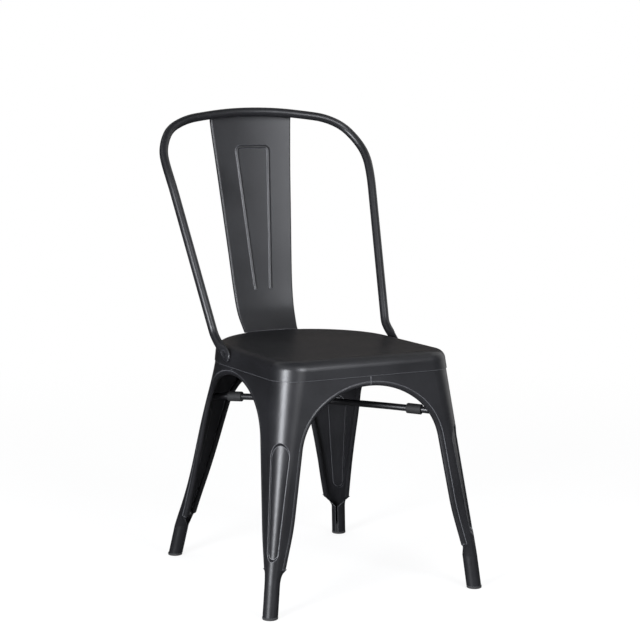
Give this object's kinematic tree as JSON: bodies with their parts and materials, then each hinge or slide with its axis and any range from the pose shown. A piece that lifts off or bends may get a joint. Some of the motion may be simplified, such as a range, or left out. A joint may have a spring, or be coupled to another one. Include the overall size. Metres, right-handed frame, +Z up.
{
  "type": "bistro chair",
  "caption": "Pressed sheet metal bistro chair with a tubular back hoop, a tapered back splat and splayed channel legs.",
  "frame": {"origin": "centre of the footprint on the floor", "axes": "+Z up, the seat's front edge faces -Y, +X is the sitter's left"},
  "size_m": [0.4398, 0.5056, 0.852],
  "materials": {
    "powder_coat": "satin",
    "rubber": "matte"
  },
  "bodies": {
    "root": {"seat_pan": "powder_coat", "front_left_leg": "powder_coat", "front_right_leg": "powder_coat", "rear_left_leg": "powder_coat", "rear_right_leg": "powder_coat", "back_hoop": "powder_coat", "back_splat": "powder_coat", "brace_rod_left": "powder_coat", "brace_rod_right": "powder_coat", "bumper_front_left": "rubber", "bumper_front_right": "rubber", "bumper_rear_left": "rubber", "bumper_rear_right": "rubber", "front_left_foot": "rubber", "front_right_foot": "rubber", "rear_left_foot": "rubber", "rear_right_foot": "rubber"}
  },
  "joints": []
}
